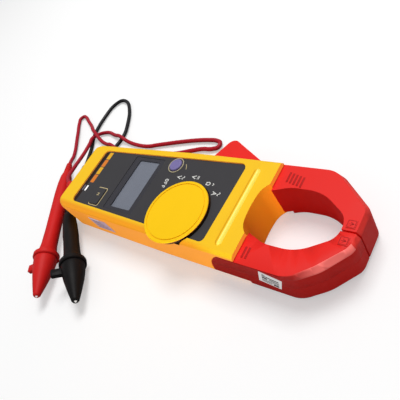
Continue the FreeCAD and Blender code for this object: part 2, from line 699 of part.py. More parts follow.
# -------------------------------------------------------------------- probes
# A probe lies on its guard ring and the end of its grip. Its origin is in the
# guard ring, its axis points to the tip; profiles are (distance, radius) pairs.
GUARD_PROFILE = [(-24, 5.3), (-12, 5.5), (-6.0, 6.2), (-3.0, 7.6), (-3.0, 8.8), (-0.6, 8.8),
                 (0.0, 8.2), (0.0, 4.4), (6.0, 4.2)]
CAP_PROFILE = [(0.15, 7.7), (3.0, 7.6), (7.0, 7.15), (12.0, 6.35), (17.0, 5.25), (22.0, 4.1),
               (26.0, 3.1), (28.7, 2.4), (29.6, 1.7)]


def probe_grip(origin, axis, back):
    profile = [(back, 3.5), (back + 4, 4.4), (back + 12, 5.1), (back + 24, 5.45)]
    grip = revolved(origin, axis, profile + GUARD_PROFILE)
    grip = grip.cut(axial_rod(1.05, origin, axis, -12.0, 10.0))
    return grip.cut(axial_rod(1.7, origin, axis, back - 1.0, back + 8.0))


def strain_relief(origin, axis, back, end):
    """Tapered sleeve with three grooves behind the grip."""
    relief = revolved(origin, axis, [(end, 2.2), (back - 0.02, 3.3)])
    relief = relief.cut(axial_rod(1.62, origin, axis, end - 1, back + 1))
    for i in range(3):
        groove = end + 2.4 + 2.8 * i
        relief = relief.cut(axial_rod(4.5, origin, axis, groove, groove + 0.8).cut(
            axial_rod(2.0, origin, axis, groove - 1, groove + 2)))
    return relief


def probe_tip(origin, axis):
    point_start = TIP_L - 1.6
    needle = axial_rod(NEEDLE_R, origin, axis, -11.5, point_start)
    return needle.fuse(revolved(origin + axis * point_start, axis,
                                [(0, NEEDLE_R), (1.0, 0.6), (1.55, 0.12)]))


def tip_cap(origin, axis, fin_angle):
    """Hollow cap with one flat fin, raised by fin_angle from level."""
    angle = math.radians(fin_angle)
    side = Vector(axis.y, -axis.x, 0).normalize()
    out = side * math.cos(angle) + Vector(0, 0, 1) * math.sin(angle)
    flat = axis.cross(out) * -1.0
    fin = Part.makeBox(9.6, 5.2, 3.0, Vector(4.4, 1.2, -1.5))
    fin = soften(fin, level_edges(fin, "X", 14.0), 1.2)
    fin = fin.transformGeometry(FreeCAD.Matrix(
        out.x, axis.x, flat.x, origin.x,
        out.y, axis.y, flat.y, origin.y,
        out.z, axis.z, flat.z, origin.z,
        0, 0, 0, 1))
    cap = revolved(origin, axis, CAP_PROFILE).fuse(fin)
    cap = cap.cut(axial_rod(1.08, origin, axis, -1.0, TIP_L + 1))
    cap = cap.cut(revolved(origin, axis, [(-0.5, 4.42), (0.05, 4.42), (6.2, 4.24)]))
    return cap.removeSplitter()


# -------------------------------------------------------------------- cables
def arc_between(start, tangent, end):
    """Arc, or line, that leaves start along tangent and stops at end."""
    chord = end - start
    along = Vector(chord).normalize()
    sideways = tangent - along * tangent.dot(along)
    if sideways.Length < 1e-5:
        return Part.LineSegment(start, end).toShape()
    angle = math.atan2(sideways.Length, tangent.dot(along))
    rise = chord.Length / 2.0 * math.tan(angle / 2.0)
    middle = start + chord * 0.5 + sideways.normalize() * rise
    return Part.Arc(start, middle, end).toShape()


def mirrored(tangent, chord):
    """Tangent at the far end of an arc over the chord."""
    chord.normalize()
    return (chord * (2 * chord.dot(tangent)) - tangent).normalize()


def path_tangents(points):
    """Tangents of a smooth path, weighted by the square roots of its spans."""
    gaps = [math.sqrt((q - p).Length) for p, q in zip(points, points[1:])]
    inner = []
    for i in range(1, len(points) - 1):
        before, here, after = points[i - 1:i + 2]
        slope = ((here - before) * (1 / gaps[i - 1])
                 - (after - before) * (1 / (gaps[i - 1] + gaps[i]))
                 + (after - here) * (1 / gaps[i]))
        inner.append(slope.normalize())
    return ([mirrored(inner[0], points[1] - points[0])] + inner
            + [mirrored(inner[-1], points[-1] - points[-2])])


def pipe(points, first, last):
    """Round cable from point first to last of a path; each span is two arcs without a kink."""
    tangents = path_tangents(points)
    edges = []
    for start, end, leaving, arriving in zip(points, points[1:], tangents, tangents[1:]):
        chord = end - start
        along = chord.dot(leaving + arriving)
        square = chord.dot(chord)
        bend = 2.0 * (1.0 - leaving.dot(arriving))
        if bend < 1e-9:
            reach = square / (2.0 * along)
        else:
            reach = (-along + math.sqrt(along * along + bend * square)) / bend
        end_control = end - arriving * reach
        joint = (start + leaving * reach + end_control) * 0.5
        edges.append(arc_between(start, leaving, joint))
        edges.append(arc_between(joint, (end_control - joint).normalize(), end))
    section = Part.Face(Part.Wire([Part.makeCircle(CABLE_R, points[first], tangents[first])]))
    return Part.Wire(edges[2 * first:2 * last]).makePipe(section)


def stations(table):
    """Points from (x, row) or (x, row, z) entries; those without z lie on the ground."""
    return [at(*(entry + (CABLE_REST_Z,))[:3]) for entry in table]


# ---------------------------------------------------------------- test leads
def probe_axis(x, y):
    return Vector(x, y, 0.0389).normalize()


def export_lead(name, side, boot, probe, boot_points, tail, run, end_points):
    """One lead: plug, pin, probe and its cable.

    boot_points are distances along the boot, end_points (distance from the
    cable end along the probe, offset) pairs. The floor run of the cable stays
    put and the tail bends when the plug is drawn.
    """
    export(name + "_plug", plug(side, boot["axis"], boot["length"]))
    export(name + "_plug_pin", plug_pin(side))
    origin, axis = probe["origin"], probe["axis"]
    back = -probe["grip_length"]
    relief_end = back - probe["relief_length"]
    export(name + "_probe", probe_grip(origin, axis, back))
    export(name + "_strain_relief", strain_relief(origin, axis, back, relief_end))
    export(name + "_probe_tip", probe_tip(origin, axis))
    export(name + "_tip_cap", tip_cap(origin, axis, probe["fin_angle"]))
    cable_end = origin + axis * relief_end
    start = [boot_origin(side) + boot["axis"] * distance for distance in boot_points]
    finish = [cable_end + axis * distance + Vector(*offset) for distance, offset in end_points]
    points = start + stations(tail) + stations(run) + finish
    joint = len(start) + len(tail) - 1
    export(name + "_cable_tail", pipe(points, 0, joint))
    export(name + "_cable", pipe(points, joint, len(points) - 1))


RED_TAIL = [(1.6, -27.0, 11.4), (-3.6, -33.6, 9.6), (-14.0, -37.6, 8.0), (-27.0, -40.4, 6.8),
            (-40.0, -45.5, 5.2)]
RED_RUN = [
    (-46.0, -48.2, 4.7), (-52.5, -47.5, 2.4), (-56.0, -38.0), (-53.5, -25.0, 2.3),
    (-50.8, -14.3, 5.1), (-48.3, -4.0, 2.4), (-46.4, 8.0), (-46.2, 22.0), (-48.4, 31.0),
    (-53.0, 51.0), (-55.5, 64.0), (-56.9, 75.0), (-57.0, 83.0), (-55.4, 87.0), (-51.8, 87.6),
    (-49.7, 83.4), (-48.8, 75.0), (-46.2, 66.0), (-42.6, 54.0), (-41.2, 40.0), (-41.0, 24.0),
    (-38.0, 5.0), (-38.0, -6.0, 4.0), (-39.7, -14.0, 7.2), (-42.0, -24.0, 4.2),
    (-45.5, -36.0, 3.0), (-50.2, -46.0, 6.0), (-54.5, -54.0, 6.3), (-60.0, -64.0, 3.2),
    (-67.0, -77.5), (-71.6, -86.0), (-72.3, -90.3), (-69.0, -92.6), (-65.0, -90.4),
    (-50.0, -77.5, 2.4)]
BLACK_TAIL = [(-31.6, -15.9, 10.4), (-35.6, -16.1, 5.7), (-39.0, -15.5, 2.7)]
BLACK_RUN = [
    (-45.0, -14.6), (-55.0, -15.0), (-66.0, -20.0), (-82.0, -31.0), (-92.0, -43.0),
    (-93.0, -52.0), (-86.0, -57.5), (-75.0, -58.0), (-62.0, -56.5), (-50.0, -52.5),
    (-38.0, -44.5), (-22.0, -36.0), (-6.0, -29.5), (6.0, -24.0)]

# -------------------------------------------------------------------- export
os.makedirs("parts", exist_ok=True)

export("front_case", front_case())
export("rear_case", rear_case())
export("battery_door", battery_door())
export("battery_door_screw",
       screw(DOOR_SCREW, 1.95, 0.98, 0.02, 0.48, 7.0, [(3.0, 0.5)], 0.3))
export("case_screws", *[screw(place, 2.75, 1.22, 2.2, 3.98, 19.0, [(3.6, 0.6), (0.6, 3.6)], 3.0)
                        for place in CASE_SCREWS])

export("face_panel", face_panel())
export("display_window", window_plate(WINDOW_FIT, PANEL_FLOOR, PANEL_FLOOR + 0.75))
export("select_bezel", select_bezel())
export("lcd_module", lcd_module())
export("lcd_connector", *lcd_connector())

export("main_board", main_board())
export("board_screws", *[screw(place, 1.9, 0.88, 12.9, 13.98, 19.6, [(2.4, 0.4)], 13.3)
                         for place in BOARD_SCREWS])
export("meter_chips", *meter_chips())
export("hold_switch", block(HOLD, 6, 6, MOUNT_Z, 18.0))
export("select_switch", block(SELECT, 6, 6, MOUNT_Z, 18.0))
export("buzzer", ring(6.0, 0.9, (0.0, 89.0), MOUNT_Z, 18.6))
export("resistor_shunts", *resistor_shunts())

export("hold_button", hold_button())
export("select_button", select_button())
export("dial_knob", dial_knob())
export("dial_rotor", dial_rotor())
export("dial_wipers", *dial_wipers())
export("dial_spring_washer", ring(9.6, 6.9, DIAL, 18.55, 20.3))

export("batteries", *batteries())
export("battery_contacts", *battery_contacts())
export("jack_block", jack_block())
export("jack_sockets", *jack_sockets())

export_jaw("fixed", 1, fixed_jaw())
export_jaw("moving", -1, moving_jaw())
export("jaw_pivot_pin", upright(PIVOT_R, PIVOT, 0.9, 23.3))
export("jaw_return_spring", jaw_return_spring())
export("spring_post", spring_post())
export("moving_jaw_marks", *moving_jaw_marks())
export("fixed_jaw_marks", *fixed_jaw_marks())
export("jaw_label", jaw_label())
export("side_label", side_label())

export_lead(
    "red", 1, dict(axis=Vector(-0.35, -0.94, 0.0).normalize(), length=13.0),
    dict(origin=at(62.4, 7.0, 8.9), axis=probe_axis(0.8005, 0.5993),
         grip_length=86.0, relief_length=12.0, fin_angle=0.0),
    [9.0, 14.5], RED_TAIL, RED_RUN,
    [(-14.0, (0, 0, -2.3)), (-5.0, (0, 0, -0.7)), (1.0, (0, 0, 0))])
export_lead(
    "black", -1, dict(axis=Vector(-1.0, -0.45, 0.0).normalize(), length=18.5),
    dict(origin=at(59.2, 37.4, 8.9), axis=probe_axis(0.616, 0.788),
         grip_length=53.5, relief_length=10.0, fin_angle=33.0),
    [13.0, 16.0, 19.0], BLACK_TAIL, BLACK_RUN,
    [(-8.0, (-2.0, 0.6, -3.2)), (-3.0, (0, 0, -1.0)), (1.0, (0, 0, 0))])
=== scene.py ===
"""Clamp meter with an opening jaw, a dial, a display and two probe leads.

It lies face up along Y: the handle end towards -Y, the jaw towards +Y, the dial and the
fixed jaw towards +X. Places are given in mm as (x, row, z), where row is the distance
from the handle end.
"""
import json
import math

import bmesh
import bpy
from mathutils import Matrix, Vector


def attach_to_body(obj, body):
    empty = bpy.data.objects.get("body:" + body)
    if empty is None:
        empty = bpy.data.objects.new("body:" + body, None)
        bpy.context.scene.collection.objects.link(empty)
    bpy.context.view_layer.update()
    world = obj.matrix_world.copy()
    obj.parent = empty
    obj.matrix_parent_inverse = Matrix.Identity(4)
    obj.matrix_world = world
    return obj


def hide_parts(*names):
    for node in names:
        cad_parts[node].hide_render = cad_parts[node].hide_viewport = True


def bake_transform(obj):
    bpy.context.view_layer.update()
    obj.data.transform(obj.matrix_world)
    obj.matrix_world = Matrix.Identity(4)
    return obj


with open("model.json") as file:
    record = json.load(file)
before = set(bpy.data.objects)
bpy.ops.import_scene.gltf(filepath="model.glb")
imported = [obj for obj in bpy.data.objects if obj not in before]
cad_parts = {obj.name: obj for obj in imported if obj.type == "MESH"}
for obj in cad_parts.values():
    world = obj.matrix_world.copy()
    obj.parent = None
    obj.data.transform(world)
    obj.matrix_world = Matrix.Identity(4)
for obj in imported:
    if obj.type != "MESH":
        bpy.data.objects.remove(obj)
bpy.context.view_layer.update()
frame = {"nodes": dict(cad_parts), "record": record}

nodes = frame["nodes"]

MM = 0.001
ORIGIN_ROW = 78.0               # row of the scene's origin
DIAL_X, DIAL_ROW = 12.6, 110.3  # centre of the dial


def y_at(row):
    """Scene y in metres of a row in mm."""
    return (row - ORIGIN_ROW) * MM


def point(x, row, z):
    """Scene point in metres from a place in mm."""
    return Vector((x * MM, y_at(row), z * MM))


# ------------------------------------------------------------------ shader helpers
def srgb(red, green, blue):
    """Linear RGBA from 0-255 sRGB channels."""
    channels = [value / 255.0 for value in (red, green, blue)]
    linear = [c / 12.92 if c <= 0.04045 else ((c + 0.055) / 1.055) ** 2.4 for c in channels]
    return (*linear, 1.0)


def add_node(tree, kind, inputs=None, **settings):
    """Shader node with its settings and input values."""
    node = tree.nodes.new("ShaderNode" + kind)
    for key, value in settings.items():
        setattr(node, key, value)
    for key, value in (inputs or {}).items():
        node.inputs[key].default_value = value
    return node


def add_map_range(tree, start, end, low=0.0, high=1.0):
    return add_node(tree, "MapRange", {"From Min": start, "From Max": end,
                                       "To Min": low, "To Max": high})


def add_bump(tree, coords, texture, strength, distance):
    """Drive the surface normal from a texture in object space."""
    tree.links.new(coords.outputs["Object"], texture.inputs["Vector"])
    bump = add_node(tree, "Bump", {"Strength": strength, "Distance": distance})
    tree.links.new(texture.outputs["Fac"], bump.inputs["Height"])
    tree.links.new(bump.outputs["Normal"], tree.nodes["Principled BSDF"].inputs["Normal"])


looks = {}      # every material by name


def material(name, colour, rough=0.5, metal=0.0, spec=0.5, vary=0.06, alpha=1.0,
             bump=0.0, bump_scale=2600, wave=None, glow_colour=None, glow=0.0):
    """Principled material; one soft noise varies its colour (by vary) and its roughness."""
    look = bpy.data.materials.new(name)
    look.use_nodes = True
    tree = look.node_tree
    shader = tree.nodes["Principled BSDF"]
    values = {"Roughness": rough, "Metallic": metal, "Coat Roughness": 0.25,
              "Specular IOR Level": spec, "Alpha": alpha, "Emission Strength": glow}
    for key, value in values.items():
        shader.inputs[key].default_value = value
    if glow_colour:
        shader.inputs["Emission Color"].default_value = glow_colour

    coords = add_node(tree, "TexCoord")
    noise = add_node(tree, "TexNoise", {"Scale": 55.0, "Detail": 3.0})
    tree.links.new(coords.outputs["Object"], noise.inputs["Vector"])
    shade = add_map_range(tree, 0.3, 0.7, low=1.0 - vary, high=1.0 + vary * 0.5)
    tree.links.new(noise.outputs["Fac"], shade.inputs["Value"])
    tint = add_node(tree, "VectorMath", {0: srgb(*colour)[:3]}, operation="SCALE")
    tree.links.new(shade.outputs["Result"], tint.inputs["Scale"])
    tree.links.new(tint.outputs["Vector"], shader.inputs["Base Color"])
    sheen = add_map_range(tree, 0.3, 0.7, low=max(0.02, rough - 0.05), high=min(1.0, rough + 0.05))
    tree.links.new(noise.outputs["Fac"], sheen.inputs["Value"])
    tree.links.new(sheen.outputs["Result"], shader.inputs["Roughness"])
    if bump:        # fine grain
        grain = add_node(tree, "TexNoise", {"Scale": bump_scale, "Detail": 2.0})
        add_bump(tree, coords, grain, strength=bump, distance=0.0002)
    if wave:        # fine parallel ridges, spaced along the axis named by wave
        ridges = add_node(tree, "TexWave", {"Scale": 600.0}, bands_direction=wave)
        add_bump(tree, coords, ridges, strength=0.6, distance=0.0003)
    looks[name] = look


def base_colour(tree):
    """Base colour input of the shader and the socket that feeds it."""
    target = tree.nodes["Principled BSDF"].inputs["Base Color"]
    return target, target.links[0].from_socket


# ------------------------------------------------------------------ materials
material("case_yellow", (252, 200, 30), rough=0.45, bump=0.06, vary=0.02, spec=0.16)
material("knob_yellow", (254, 203, 18), bump=0.04, vary=0.015, spec=0.08)
material("steel", (185, 187, 190), rough=0.32, metal=1.0)
material("panel_dark", (62, 61, 64), rough=0.55, bump=0.04, bump_scale=4000, vary=0.05,
         spec=0.16)
material("lens_clear", (54, 56, 64), rough=0.12, alpha=0.16, spec=0.35)
material("ring_pale", (192, 182, 150), rough=0.45, spec=0.2)
material("key_violet", (124, 114, 168), spec=0.25)
material("display_grey", (162, 168, 183), rough=0.35, vary=0.04, spec=0.2)
material("rubber_grey", (120, 120, 122), rough=0.7)
material("board_green", (24, 92, 48), rough=0.4)
material("component_black", (26, 26, 28), spec=0.2)
material("contact_brass", (222, 200, 150), rough=0.28, metal=1.0)
material("nylon_white", (225, 224, 214))
material("jaw_red", (238, 40, 34), rough=0.45, bump=0.06, vary=0.02, spec=0.14)
material("core_steel", (110, 112, 118), rough=0.4, metal=1.0, wave="Z")
material("coil_copper", (168, 92, 52), rough=0.35, metal=0.9, wave="X")
# label white, with a glow that paints extra light onto labels that sit in shade
material("label_white", (250, 249, 248), rough=0.6, vary=0.02, spec=0.1,
         glow_colour=(1.0, 0.97, 0.96, 1.0), glow=0.30)
material("label_lilac", (186, 160, 176), rough=0.6, vary=0.10, spec=0.1)
material("cell_wrap", (40, 42, 48), rough=0.35, metal=0.3)
material("lead_red", (212, 28, 27), bump=0.05, vary=0.04, spec=0.18)
material("lead_black", (18, 16, 17), bump=0.05, vary=0.05, spec=0.13)
material("wire_red", (176, 26, 46), rough=0.45, vary=0.04, spec=0.2)
material("wire_black", (30, 29, 32), rough=0.42, vary=0.05, spec=0.25)


def shade_sloped_border():
    """Painted shade: deepen the case's yellow along the +X edge of the face panel, which slopes
    outwards.
    """
    edge_slope = 3.5 / 121.2                # metres of x per metre of y
    edge_x, edge_y = 0.0218, -0.0623        # a point on the panel's edge, in metres
    fade_start, fade_end = 0.0004, 0.0032   # distance beyond the edge, in metres
    row_start, row_end = 148.0, 132.0       # the tone fades in from the jaw end

    tree = looks["case_yellow"].node_tree
    target, yellow = base_colour(tree)
    coords = add_node(tree, "TexCoord")
    split = add_node(tree, "SeparateXYZ")
    tree.links.new(coords.outputs["Object"], split.inputs[0])
    edge = add_node(tree, "Math", {1: edge_slope, 2: edge_x - edge_y * edge_slope},
                    operation="MULTIPLY_ADD")
    tree.links.new(split.outputs["Y"], edge.inputs[0])
    beyond = add_node(tree, "Math", operation="SUBTRACT")
    tree.links.new(split.outputs["X"], beyond.inputs[0])
    tree.links.new(edge.outputs[0], beyond.inputs[1])
    across = add_map_range(tree, fade_start, fade_end)
    tree.links.new(beyond.outputs[0], across.inputs["Value"])
    length = add_map_range(tree, y_at(row_start), y_at(row_end))
    tree.links.new(split.outputs["Y"], length.inputs["Value"])
    both = add_node(tree, "Math", operation="MULTIPLY")
    tree.links.new(across.outputs["Result"], both.inputs[0])
    tree.links.new(length.outputs["Result"], both.inputs[1])
    mix = add_node(tree, "Mix", data_type="RGBA")
    tree.links.new(both.outputs[0], mix.inputs["Factor"])
    tree.links.new(yellow, mix.inputs["A"])
    # painted shade colour for the sloping border
    mix.inputs["B"].default_value = srgb(244, 158, 26)
    tree.links.new(mix.outputs["Result"], target)


def fade_jaw_bevel():
    """Fade the bevel's painted highlight and glow in towards the jaw tip."""
    row_start, row_end = 188.0, 196.5
    full_glow = 0.22

    tree = looks["jaw_bevel"].node_tree
    target, highlight = base_colour(tree)
    coords = add_node(tree, "TexCoord")
    split = add_node(tree, "SeparateXYZ")
    fade = add_map_range(tree, y_at(row_start), y_at(row_end))
    tree.links.new(coords.outputs["Object"], split.inputs[0])
    tree.links.new(split.outputs["Y"], fade.inputs["Value"])
    mix = add_node(tree, "Mix", data_type="RGBA")
    glow = add_node(tree, "Math", {1: full_glow}, operation="MULTIPLY")
    tree.links.new(fade.outputs["Result"], mix.inputs["Factor"])
    mix.inputs["A"].default_value = srgb(228, 44, 38)
    tree.links.new(highlight, mix.inputs["B"])
    tree.links.new(mix.outputs["Result"], target)
    tree.links.new(fade.outputs["Result"], glow.inputs[0])
    tree.links.new(glow.outputs["Value"],
                   tree.nodes["Principled BSDF"].inputs["Emission Strength"])


shade_sloped_border()
# Painted shade for the side walls: a deeper orange copy of the case yellow, with a faint glow
# standing in for fill light
material("case_side", (253, 163, 60), bump=0.06, vary=0.03, spec=0.12,
         glow_colour=srgb(254, 150, 40), glow=0.08)
# Painted shade on the case's walls inside the jaw window
material("case_mouth", (246, 148, 28), rough=0.55, bump=0.06, vary=0.03, spec=0.08)
# Metal probe tips, painted brighter with a glow as a highlight
material("tip_bright", (236, 234, 230), rough=0.2, metal=0.5, vary=0.02,
         glow_colour=(1.0, 0.98, 0.95, 1.0), glow=0.35)
# Painted highlight with a painted glow for the nose bevel where it faces +X
material("jaw_bevel", (255, 128, 120), rough=0.4, vary=0.02, spec=0.3,
         glow_colour=srgb(255, 90, 84))
fade_jaw_bevel()
# Painted shadow: dark brown for the pocket and the foot under the dial's rim
material("dial_foot", (66, 50, 38), rough=0.6, vary=0.05, spec=0.08)
# Painted highlight: a lighter red copy of the jaw red for the rest of the nose bevel
material("jaw_edge", (248, 60, 52), rough=0.45, vary=0.02, spec=0.16)
# Painted shade and painted highlight for the handle and jaw sides of the raised bar
material("bar_shade", (232, 168, 24), rough=0.45, vary=0.02, spec=0.12)
material("bar_light", (255, 236, 96), rough=0.35, vary=0.02, spec=0.3)
# Painted shade: darker red for the raised marks on the jaws
material("jaw_mark", (186, 26, 24), vary=0.04, spec=0.12)
material("print_white", (226, 226, 222), vary=0.02, spec=0.1)
material("print_yellow", (236, 178, 44), vary=0.05, spec=0.1)
material("print_cream", (204, 186, 142), vary=0.03, spec=0.1)
material("print_brown", (44, 32, 28), rough=0.55, vary=0.05, spec=0.1)
material("print_black", (30, 29, 33), vary=0.05, spec=0.1)
material("print_grey", (112, 106, 116), vary=0.05, spec=0.1)
material("print_orange", (228, 130, 48), vary=0.05, spec=0.1)
material("display_mask", (66, 65, 71), vary=0.04, spec=0.15)


# ------------------------------------------------------------------ tones of the CAD pieces
# Each chooser takes a face's normal and centre, in scene axes and metres, and returns
# the name of an extra material, or None for the piece's own.
def dial_radius(centre):
    return math.hypot(centre.x - DIAL_X * MM, centre.y - y_at(DIAL_ROW))


def case_tone(normal, centre):
    """Painted shade: deeper-toned walls, deepest inside the jaw window, and painted shade and
    highlight on the raised bar.
    """
    mouth_row, mouth_half_width = 152.5, 14.6
    pocket_low, pocket_high, pocket_radius, pocket_max_x = 22.0, 24.3, 21.3, 29.0
    wall_top = 24.6
    bar_low, bar_row0, bar_row1 = 25.02, 143.8, 148.8

    normal = normal.normalized()
    x, y, z = centre
    if (y > y_at(mouth_row) and abs(x) < mouth_half_width * MM
            and normal.y > 0.3 and normal.z < 0.5):
        return "case_mouth"
    if (pocket_low * MM < z < pocket_high * MM and dial_radius(centre) < pocket_radius * MM
            and x < pocket_max_x * MM):
        return "dial_foot"      # painted shadow in the pocket under the dial
    if normal.z < 0.35 and z < wall_top * MM:
        return "case_side"
    if z > bar_low * MM and y_at(bar_row0) < y < y_at(bar_row1) and normal.z < 0.985:
        # painted shade on the handle side, painted highlight on the jaw side
        return "bar_shade" if normal.y < 0 else "bar_light"
    return None


def knob_tone(normal, centre):
    """Painted shadow on the underside and inner foot, painted shade on the outer wall."""
    wall_radius, foot_top = 19.5, 25.9
    radius = dial_radius(centre)
    upright = abs(normal.z) < 0.35
    if normal.z < -0.1 or (upright and radius < wall_radius * MM and centre.z < foot_top * MM):
        return "dial_foot"
    return "case_side" if upright and radius > wall_radius * MM else None


def jaw_mark_tone(normal, centre):
    """Painted shade: the raised marks go darker red, except the plates at the tips, which keep the
    jaw's colour.
    """
    tip_row = 195.0
    return None if centre.y > y_at(tip_row) else "jaw_mark"


def jaw_upper_tone(normal, centre):
    """Painted highlight on the bevel round the outside of the nose, brightest where it faces +X."""
    bevel_low, nose_row, middle_row = 19.0, 183.0, 185.0
    outwards = centre.x * normal.x + (centre.y - y_at(middle_row)) * normal.y > 0
    if (0.2 < normal.z < 0.95 and centre.z > bevel_low * MM
            and centre.y > y_at(nose_row) and outwards):
        return "jaw_bevel" if normal.x > 0.15 else "jaw_edge"
    return None


def tone_faces(ob, extras, choose):
    """Append the extra materials and give each face the chosen one."""
    for extra in extras:
        ob.data.materials.append(looks[extra])
    slots = [None, *extras]
    turn = ob.matrix_world.to_3x3()
    for poly in ob.data.polygons:
        chosen = choose(turn @ poly.normal, ob.matrix_world @ poly.center)
        poly.material_index = slots.index(chosen)


def dress(name, ob, look):
    """Smooth a CAD piece and give it its materials."""
    # probe tips take the painted glowing highlight
    if name.endswith("_probe_tip"):
        look = "tip_bright"
    if name == "battery_door":      # takes the painted side-wall shade of the back round it
        look = "case_side"
    ob.data.materials.clear()
    ob.data.materials.append(looks[look])
    for poly in ob.data.polygons:
        poly.material_index = 0
        poly.use_smooth = True
    if name in ("front_case", "rear_case"):
        extras = ("case_side", "case_mouth", "bar_shade", "bar_light", "dial_foot")
        tone_faces(ob, extras, case_tone)
    if name == "dial_knob":
        tone_faces(ob, ("case_side", "dial_foot"), knob_tone)
    if name.endswith("_jaw_marks"):
        tone_faces(ob, ("jaw_mark",), jaw_mark_tone)
    if name.endswith("_jaw_upper"):
        tone_faces(ob, ("jaw_bevel", "jaw_edge"), jaw_upper_tone)


def finish_edges(ob, width):
    """Weld, bevel the sharp edges by width (mm) and weight the normals."""
    weld = ob.modifiers.new("weld", "WELD")
    weld.merge_threshold = 2e-6
    if width:
        bevel = ob.modifiers.new("bevel", "BEVEL")
        bevel.width = width * MM
        bevel.segments = 2
        bevel.limit_method = "ANGLE"
        bevel.angle_limit = math.radians(32.0)
        bevel.harden_normals = False
        bevel.use_clamp_overlap = True
    weighted = ob.modifiers.new("normals", "WEIGHTED_NORMAL")
    weighted.keep_sharp = True


# bevel widths in mm; the other pieces have none
BEVELS = {
    "front_case": 0.3, "rear_case": 0.3, "battery_door": 0.2, "face_panel": 0.12,
    "dial_knob": 0.25, "fixed_jaw_lower": 0.5, "moving_jaw_upper": 0.5,
    "moving_jaw_lower": 0.5, "red_probe": 0.3, "black_probe": 0.3, "red_plug": 0.3,
    "black_plug": 0.3,
}
slot_of = {part["node"]: part["material_slot"] for part in frame["record"]["subparts"]}
for name, ob in nodes.items():
    dress(name, ob, slot_of[name])
    finish_edges(ob, BEVELS.get(name, 0.0))


# ------------------------------------------------------------------ mesh helpers
def new_mesh(name, verts, faces):
    mesh = bpy.data.meshes.new(name)
    mesh.from_pydata([tuple(v) for v in verts], [], faces)
    mesh.update()
    return mesh


def link_object(name, mesh, look):
    ob = bpy.data.objects.new(name, mesh)
    bpy.context.scene.collection.objects.link(ob)
    mesh.materials.append(looks[look])
    return ob


def attach(name, mesh, look, body="meter"):
    """Object that rides on a body of the meter."""
    ob = link_object(name, mesh, look)
    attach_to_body(ob, body)


PRINT_Z = 24.24         # middle height of the strokes on the face panel
STROKE_HALF = 0.04      # half the thickness of every stroke


def ribbon(name, lines, width, look, z=PRINT_Z, body="meter", slot="ring_pale"):
    """Flat strokes: each line is a list of (x, row) points, closed when its ends meet."""
    verts, faces = [], []
    top, low = z + STROKE_HALF, z - STROKE_HALF
    for line in lines:
        closed = (Vector(line[0]) - Vector(line[-1])).length < 1e-6
        pts = [Vector(p) for p in (line[:-1] if closed else line)]
        count = len(pts)
        base = len(verts)
        for i, here in enumerate(pts):
            before = (here - pts[i - 1]).normalized() if closed or i > 0 else None
            after = before
            if closed or i < count - 1:
                after = (pts[(i + 1) % count] - here).normalized()
            if before is None:
                before = after
            tangent = (before + after).normalized()
            normal = Vector((-tangent.y, tangent.x))
            # widen at corners so that the stroke keeps its width, up to a limit
            spread = max(0.35, normal.dot(Vector((-before.y, before.x))))
            offset = normal * (width / 2 / spread)
            for height in (top, low):
                for side in (here + offset, here - offset):
                    verts.append(point(side.x, side.y, height))
        for i in range(count if closed else count - 1):
            a, b = base + 4 * i, base + 4 * ((i + 1) % count)
            faces += [(a, a + 1, b + 1, b), (a + 2, a, b, b + 2),
                      (a + 1, a + 3, b + 3, b + 1), (a + 3, a + 2, b + 2, b + 3)]
        if not closed:
            a, b = base, base + 4 * (count - 1)
            faces += [(a + 1, a, a + 2, a + 3), (b, b + 1, b + 3, b + 2)]
    attach(name, new_mesh(name, verts, faces), look, body)


def rounded(x0, x1, row0, row1, radius, steps=6):
    """Outline of a rectangle with rounded corners."""
    corners = ((x1 - radius, row0 + radius, -90), (x1 - radius, row1 - radius, 0),
               (x0 + radius, row1 - radius, 90), (x0 + radius, row0 + radius, 180))
    outline = []
    for x, row, start in corners:
        for i in range(steps + 1):
            angle = math.radians(start + 90.0 * i / steps)
            outline.append((x + radius * math.cos(angle), row + radius * math.sin(angle)))
    return outline


def close(outline):
    return outline + [outline[0]]


def plate(name, outline, z0, z1, look, hole=None):
    """Flat plate between two heights, with one hole if asked."""
    bm = bmesh.new()

    def loop(outline):
        verts = [bm.verts.new(point(x, row, z1)) for x, row in outline]
        return [bm.edges.new((v, verts[(i + 1) % len(verts)])) for i, v in enumerate(verts)]

    edges = loop(outline)
    if hole:
        edges += loop(hole)
        bmesh.ops.triangle_fill(bm, edges=edges, use_beauty=True)
    else:
        bm.faces.new(bm.verts)
    extruded = bmesh.ops.extrude_face_region(bm, geom=bm.faces[:])["geom"]
    bmesh.ops.translate(bm, verts=[v for v in extruded if isinstance(v, bmesh.types.BMVert)],
                        vec=Vector((0, 0, (z0 - z1) * MM)))
    bmesh.ops.recalc_face_normals(bm, faces=bm.faces)
    mesh = bpy.data.meshes.new(name)
    bm.to_mesh(mesh)
    bm.free()
    attach(name, mesh, look)


# ------------------------------------------------------------------ signs on the face
def ellipse_points(degrees, x, y, half_width, half_height):
    return [(x + half_width * math.cos(math.radians(a)), y + half_height * math.sin(math.radians(a)))
            for a in degrees]


